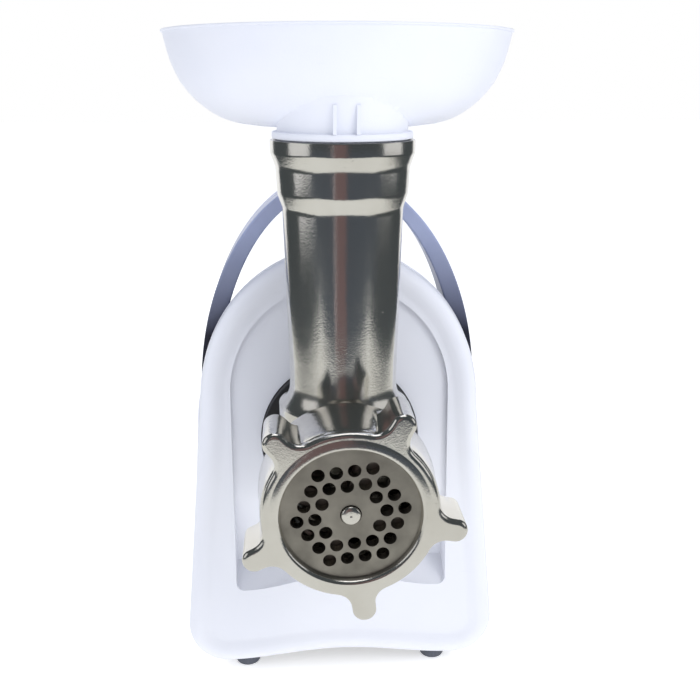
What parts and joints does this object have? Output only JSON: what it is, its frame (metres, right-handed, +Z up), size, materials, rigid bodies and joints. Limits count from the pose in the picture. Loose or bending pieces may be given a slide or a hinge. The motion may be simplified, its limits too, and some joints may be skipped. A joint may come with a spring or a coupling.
{
  "type": "electric meat grinder",
  "caption": "Kitchen meat grinder: arch-shaped white motor housing with a carrying handle, polished feed tube and barrel, lugged ring nut over a perforated plate, and a round food tray.",
  "frame": {"origin": "on the table under the middle of the machine's bounding box", "axes": "+Z up, the cutting plate faces -Y, +X to the right seen from the front"},
  "size_m": [0.156, 0.265, 0.316],
  "materials": {
    "white_plastic": "smooth white ABS, softly glossy",
    "tray_plastic": "milky white plastic, satin",
    "handle_plastic": "blue-grey plastic, softly glossy",
    "black_plastic": "fine-textured black plastic",
    "grey_rubber": "dark grey rubber",
    "polished_metal": "polished die-cast aluminium",
    "satin_steel": "ground stainless steel",
    "gear_plastic": "natural nylon",
    "copper": "enamelled copper",
    "bronze": "sintered bronze"
  },
  "bodies": {
    "machine": {"front_housing": "white_plastic", "rear_housing": "white_plastic", "carry_handle": "handle_plastic", "base_plate": "black_plastic", "socket_ring": "black_plastic", "gearbox_case": "black_plastic", "gearbox_cover": "black_plastic", "motor_bracket": "black_plastic", "lock_guide": "black_plastic", "switch_bezel": "black_plastic", "switch_block": "black_plastic", "foot_front_left": "grey_rubber", "foot_front_right": "grey_rubber", "foot_rear_left": "grey_rubber", "foot_rear_right": "grey_rubber", "cord_grommet": "grey_rubber", "foot_screw_front_left": "satin_steel", "foot_screw_front_right": "satin_steel", "foot_screw_rear_left": "satin_steel", "foot_screw_rear_right": "satin_steel", "compound_axle": "satin_steel", "stator": "satin_steel", "lock_spring": "satin_steel", "field_coil_upper": "copper", "field_coil_lower": "copper", "output_bush": "bronze", "front_motor_bearing": "bronze", "rear_motor_bearing": "bronze", "brush_holder_left": "bronze", "brush_holder_right": "bronze"},
    "rotor": {"motor_shaft": "satin_steel", "motor_pinion": "satin_steel", "armature_core": "satin_steel", "commutator": "copper", "fan": "black_plastic"},
    "compound": {"compound_wheel": "gear_plastic", "compound_pinion": "satin_steel"},
    "output": {"output_gear": "gear_plastic", "drive_socket": "satin_steel"},
    "head": {"head_casting": "polished_metal", "cutting_plate": "satin_steel", "thrust_washer": "gear_plastic"},
    "auger": {"auger": "polished_metal", "knife": "satin_steel"},
    "nut": {"ring_nut": "polished_metal"},
    "tray": {"hopper_tray": "tray_plastic"},
    "lock": {"lock_button": "handle_plastic"},
    "power_switch": {"power_rocker": "black_plastic"},
    "reverse_switch": {"reverse_rocker": "grey_rubber"}
  },
  "joints": [
    {"name": "rotor_spin", "type": "hinge", "parent": "machine", "child": "rotor", "pos_m": [0, 0, 0.0682], "axis": [0, 1, 0], "continuous": true},
    {"name": "compound_spin", "type": "hinge", "parent": "machine", "child": "compound", "pos_m": [-0.028, 0, 0.0845], "axis": [0, 1, 0], "continuous": true},
    {"name": "output_spin", "type": "hinge", "parent": "machine", "child": "output", "pos_m": [0, 0, 0.126], "axis": [0, 1, 0], "continuous": true},
    {"name": "head_release", "type": "slide", "parent": "machine", "child": "head", "axis": [0, -1, 0], "range_m": [0, 0.08]},
    {"name": "auger_spin", "type": "hinge", "parent": "head", "child": "auger", "pos_m": [0, 0, 0.126], "axis": [0, 1, 0], "continuous": true},
    {"name": "nut_turn", "type": "hinge", "parent": "head", "child": "nut", "pos_m": [0, 0, 0.126], "axis": [0, -1, 0], "range_deg": [0, 1080]},
    {"name": "tray_lift", "type": "slide", "parent": "head", "child": "tray", "axis": [0, 0, 1], "range_m": [0, 0.04]},
    {"name": "lock_press", "type": "slide", "parent": "machine", "child": "lock", "axis": [0, 0, -1], "range_m": [0, 0.004], "stiffness_N_per_m": 400, "springref_m": -0.002, "deforming": ["lock_spring"]},
    {"name": "power_rock", "type": "hinge", "parent": "machine", "child": "power_switch", "pos_m": [-0.0105, 0.12503, 0.14], "axis": [1, 0, 0], "range_deg": [-8, 8]},
    {"name": "reverse_rock", "type": "hinge", "parent": "machine", "child": "reverse_switch", "pos_m": [0.0105, 0.12503, 0.14], "axis": [1, 0, 0], "range_deg": [-8, 8], "stiffness_Nm_per_rad": 0.08}
  ],
  "couplings": [
    {"joint": "compound_spin", "follows": "rotor_spin", "ratio": -0.14286},
    {"joint": "output_spin", "follows": "rotor_spin", "ratio": 0.02381},
    {"joint": "auger_spin", "follows": "rotor_spin", "ratio": 0.02381}
  ]
}
